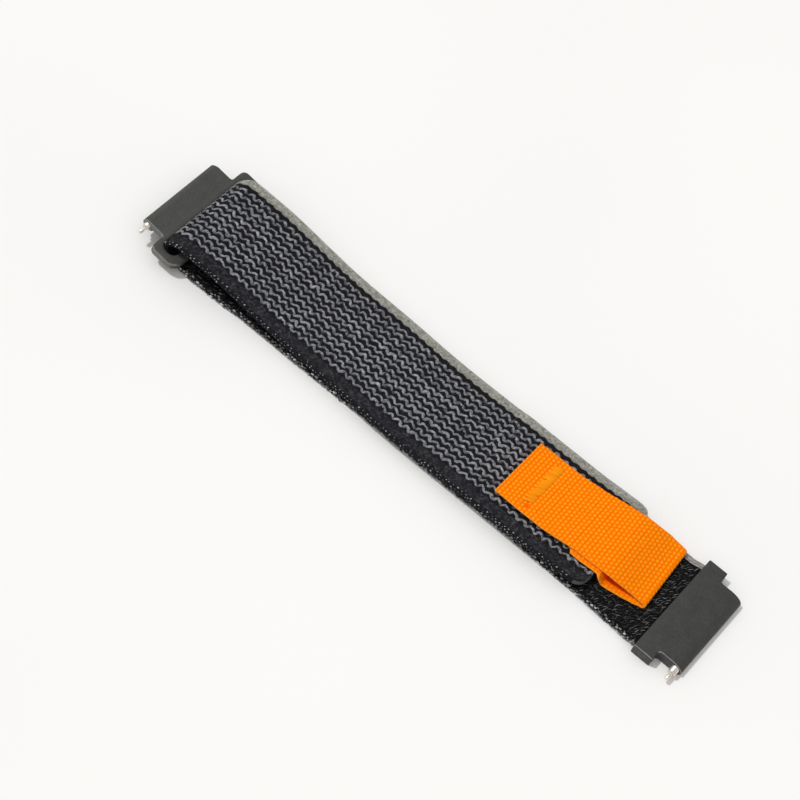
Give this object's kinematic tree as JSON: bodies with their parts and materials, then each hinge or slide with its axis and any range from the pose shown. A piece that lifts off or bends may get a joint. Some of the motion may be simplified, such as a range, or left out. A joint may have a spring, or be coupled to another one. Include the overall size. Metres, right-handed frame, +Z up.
{
  "type": "hook and loop watch strap",
  "caption": "Woven hook and loop watch strap with a ring buckle, a pull tab and quick-release spring bars at both ends.",
  "frame": {"origin": "on the table, under the middle of the folded strap's outline", "axes": "+X along the strap from the ring buckle to the fixed connector, +Y across the strap to its long left edge, +Z up from the table"},
  "size_m": [0.144, 0.0296, 0.0074],
  "materials": {
    "base_webbing": "black loop pile webbing",
    "flap_webbing": "dark webbing woven with grey zigzag stripes and a grey-green edge band",
    "hook_tape": "black hook tape",
    "orange_webbing": "bright orange ribbed webbing",
    "orange_thread": "glossy orange sewing thread",
    "buckle_coating": "matte dark grey coating, worn bright along its edges",
    "connector_coating": "matte black coating with pale edges",
    "pin_steel": "plain ground steel",
    "bar_steel": "bright turned steel",
    "spring_steel": "drawn spring wire"
  },
  "bodies": {
    "strap": {"strap_base": "base_webbing", "strap_bend": "flap_webbing", "fixed_connector": "connector_coating", "grip_pin_1": "pin_steel", "grip_pin_2": "pin_steel", "grip_pin_3": "pin_steel", "fixed_bar_tube": "bar_steel", "fixed_bar_spring": "spring_steel"},
    "flap": {"strap_flap": "flap_webbing", "hook_patch": "hook_tape", "tab_sewn_end": "orange_webbing", "tab_bar_tack": "orange_thread"},
    "tab": {"pull_tab": "orange_webbing"},
    "buckle": {"ring_buckle": "buckle_coating", "buckle_bar_tube": "bar_steel", "buckle_bar_spring": "spring_steel"},
    "buckle_plain_plunger": {"buckle_plain_tip": "bar_steel"},
    "buckle_release_plunger": {"buckle_release_tip": "bar_steel", "buckle_release_knob": "bar_steel"},
    "fixed_plain_plunger": {"fixed_plain_tip": "bar_steel"},
    "fixed_release_plunger": {"fixed_release_tip": "bar_steel", "fixed_release_knob": "bar_steel"}
  },
  "joints": [
    {"name": "flap_lift", "type": "hinge", "parent": "strap", "child": "flap", "pos_m": [-0.05401, 0, 0.00612], "axis": [0, -1, 0], "range_deg": [0, 120], "deforming": ["strap_bend"]},
    {"name": "tab_lift", "type": "hinge", "parent": "flap", "child": "tab", "pos_m": [0.02897, 0.00122, 0.00525], "axis": [0.068, -0.9977, 0], "range_deg": [0, 110]},
    {"name": "buckle_swing", "type": "hinge", "parent": "strap", "child": "buckle", "pos_m": [-0.06051, 0, 0.00295], "axis": [0, 1, 0], "range_deg": [-45, 70], "deforming": ["strap_bend"]},
    {"name": "buckle_plain_press", "type": "slide", "parent": "buckle", "child": "buckle_plain_plunger", "axis": [0, -1, 0], "range_m": [-0.0017, 0], "stiffness_N_per_m": 800, "springref_m": 0.001, "deforming": ["buckle_bar_spring"]},
    {"name": "buckle_release_pull", "type": "slide", "parent": "buckle", "child": "buckle_release_plunger", "axis": [0, 1, 0], "range_m": [-0.0017, 0], "stiffness_N_per_m": 800, "springref_m": 0.001, "deforming": ["buckle_bar_spring"]},
    {"name": "fixed_plain_press", "type": "slide", "parent": "strap", "child": "fixed_plain_plunger", "axis": [0, -1, 0], "range_m": [-0.0017, 0], "stiffness_N_per_m": 800, "springref_m": 0.001, "deforming": ["fixed_bar_spring"]},
    {"name": "fixed_release_pull", "type": "slide", "parent": "strap", "child": "fixed_release_plunger", "axis": [0, 1, 0], "range_m": [-0.0017, 0], "stiffness_N_per_m": 800, "springref_m": 0.001, "deforming": ["fixed_bar_spring"]}
  ]
}
